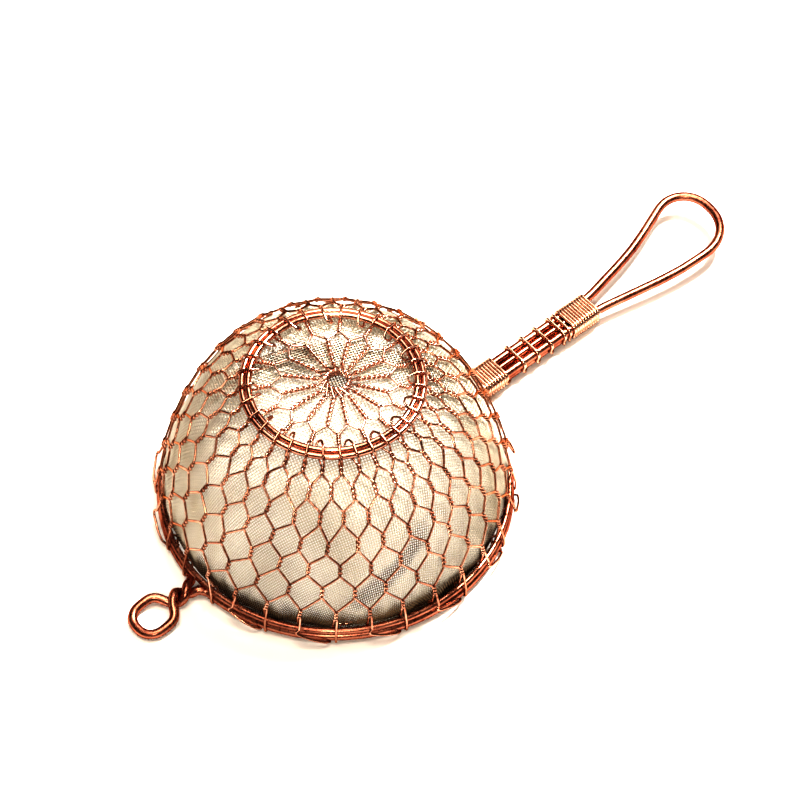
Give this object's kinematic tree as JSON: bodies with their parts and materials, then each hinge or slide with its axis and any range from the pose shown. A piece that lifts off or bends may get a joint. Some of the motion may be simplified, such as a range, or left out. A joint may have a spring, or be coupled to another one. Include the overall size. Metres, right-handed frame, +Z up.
{
  "type": "hand-woven wire tea strainer",
  "caption": "Round dome-shaped strainer of twisted copper wire net over fine wire cloth, with a foot ring, a bound wire handle with a hanging loop, and a small rest eye opposite.",
  "frame": {"origin": "middle of the rim's circle, on the plane that the rim, the grip and the rest eye lie on", "axes": "+X along the handle towards its hanging loop, +Z up from the rim's plane towards the dome's crown"},
  "size_m": [0.1657, 0.0776, 0.0405],
  "materials": {
    "copper_thick_wire": "bright drawn copper",
    "copper_ring_wire": "bright drawn copper",
    "copper_binding_wire": "bright drawn copper, darker between the turns",
    "copper_net_wire": "bright fine copper wire, twisted by hand",
    "wire_cloth": "fine woven wire cloth, pale brass colour"
  },
  "bodies": {
    "root": {"rim_and_rest_wire": "copper_thick_wire", "rim_upper_ring": "copper_thick_wire", "liner_hem_ring": "copper_ring_wire", "foot_ring_inner": "copper_ring_wire", "foot_ring_outer": "copper_ring_wire", "liner_cloth": "wire_cloth", "handle_loop": "copper_thick_wire", "grip_binding": "copper_binding_wire", "crown_wire_01": "copper_net_wire", "crown_wire_02": "copper_net_wire", "crown_wire_03": "copper_net_wire", "crown_wire_04": "copper_net_wire", "crown_wire_05": "copper_net_wire", "crown_wire_06": "copper_net_wire", "crown_wire_07": "copper_net_wire", "crown_wire_08": "copper_net_wire", "crown_wire_09": "copper_net_wire", "crown_wire_10": "copper_net_wire", "crown_wire_11": "copper_net_wire", "crown_wire_12": "copper_net_wire", "crown_wire_13": "copper_net_wire", "crown_wire_14": "copper_net_wire", "crown_wire_15": "copper_net_wire", "crown_wire_16": "copper_net_wire", "hairpin_wire_01": "copper_net_wire", "hairpin_wire_02": "copper_net_wire", "hairpin_wire_03": "copper_net_wire", "hairpin_wire_04": "copper_net_wire", "hairpin_wire_05": "copper_net_wire", "hairpin_wire_06": "copper_net_wire", "hairpin_wire_07": "copper_net_wire", "hairpin_wire_08": "copper_net_wire", "hairpin_wire_09": "copper_net_wire", "hairpin_wire_10": "copper_net_wire", "hairpin_wire_11": "copper_net_wire", "hairpin_wire_12": "copper_net_wire", "hairpin_wire_13": "copper_net_wire", "hairpin_wire_14": "copper_net_wire", "hairpin_wire_15": "copper_net_wire", "hairpin_wire_16": "copper_net_wire"}
  },
  "joints": []
}
